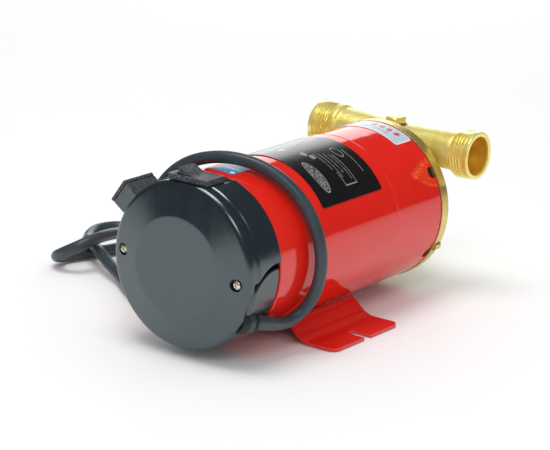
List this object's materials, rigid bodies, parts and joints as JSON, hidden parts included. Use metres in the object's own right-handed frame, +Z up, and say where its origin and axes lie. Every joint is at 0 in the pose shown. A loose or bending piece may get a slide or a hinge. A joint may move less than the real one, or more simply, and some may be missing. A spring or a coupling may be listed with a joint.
{
  "type": "circulator pump",
  "caption": "Inline household circulator pump: steel motor barrel on a foot bracket, dark switch cover, brass head with two threaded ports, and a power cord.",
  "frame": {"origin": "Centre of the bottom of the box round the pump, measured without the cord, coil, tie and plug. The feet stand on z = 0.", "axes": "+Z up. Y is the motor axis, with the brass pump head at +Y and the switch cover at -Y. X is the line through both ports: +X is the outlet side."},
  "size_m": [0.2232, 0.245, 0.0971],
  "materials": {
    "cover_plastic": "moulded blue-grey plastic, semi-gloss",
    "switch_plastic": "fine-textured black plastic",
    "red_paint": "glossy red enamel on sheet steel",
    "brass": "cast brass, machined ends",
    "screw_steel": "zinc-plated steel",
    "shaft_steel": "ground steel",
    "shield_aluminium": "die-cast aluminium",
    "lamination_steel": "stacked electrical steel",
    "winding_copper": "varnished copper wire",
    "cord_rubber": "smooth matt cable sheath",
    "black_rubber": "matt black rubber",
    "nameplate_foil": null,
    "sticker_paper": null,
    "sticker_blue": null,
    "terminal_plastic": "cream moulded plastic",
    "capacitor_case": "white plastic can",
    "seal_ceramic": "lapped ceramic",
    "fibre": "red vulcanised fibre"
  },
  "bodies": {
    "pump": {"rear_cover": "cover_plastic", "cover_screw_left": "screw_steel", "cover_screw_right": "screw_steel", "switch_frame": "switch_plastic", "side_box_lid": "cover_plastic", "cord_gland": "cord_rubber", "terminal_block": "terminal_plastic", "run_capacitor": "capacitor_case", "motor_barrel": "red_paint", "nameplate": "nameplate_foil", "front_sticker": "sticker_paper", "switch_sticker": "sticker_blue", "foot_bracket": "red_paint", "rear_end_shield": "shield_aluminium", "front_end_shield": "shield_aluminium", "rear_bearing": "shaft_steel", "front_bearing": "shaft_steel", "stator_core": "lamination_steel", "rear_winding": "winding_copper", "front_winding": "winding_copper", "seal_seat": "seal_ceramic", "head_gasket": "black_rubber", "pump_head": "brass", "head_screw_1": "screw_steel", "head_screw_2": "screw_steel", "head_screw_3": "screw_steel", "head_screw_4": "screw_steel", "power_cord": "cord_rubber", "cord_coil": "cord_rubber", "cord_tie": "black_rubber", "plug_body": "cord_rubber", "plug_pin_1": "brass", "plug_pin_2": "brass", "plug_pin_3": "brass"},
    "rotor": {"rotor_core": "lamination_steel", "rotor_shaft": "shaft_steel", "impeller": "brass", "seal_rotating": "black_rubber"},
    "rocker": {"switch_rocker": "switch_plastic"},
    "vent_ring": {"vent_washer": "fibre"},
    "vent_screw": {"vent_plug": "brass"}
  },
  "joints": [
    {"name": "rotor_spin", "type": "hinge", "parent": "pump", "child": "rotor", "pos_m": [0, -0.00955, 0.0466], "axis": [0, 1, 0], "continuous": true},
    {"name": "rocker_tilt", "type": "hinge", "parent": "pump", "child": "rocker", "pos_m": [0, -0.08795, 0.0866], "axis": [0, -1, 0], "range_deg": [0, 28]},
    {"name": "vent_lift", "type": "slide", "parent": "pump", "child": "vent_ring", "axis": [0, 0, 1], "range_m": [0, 0.00181]},
    {"name": "vent_turn", "type": "hinge", "parent": "vent_ring", "child": "vent_screw", "pos_m": [0, 0.08645, 0.0856], "axis": [0, 0, 1], "range_deg": [0, 720]}
  ],
  "couplings": [
    {"joint": "vent_turn", "follows": "vent_lift", "rad_per_m": 6927.4}
  ]
}
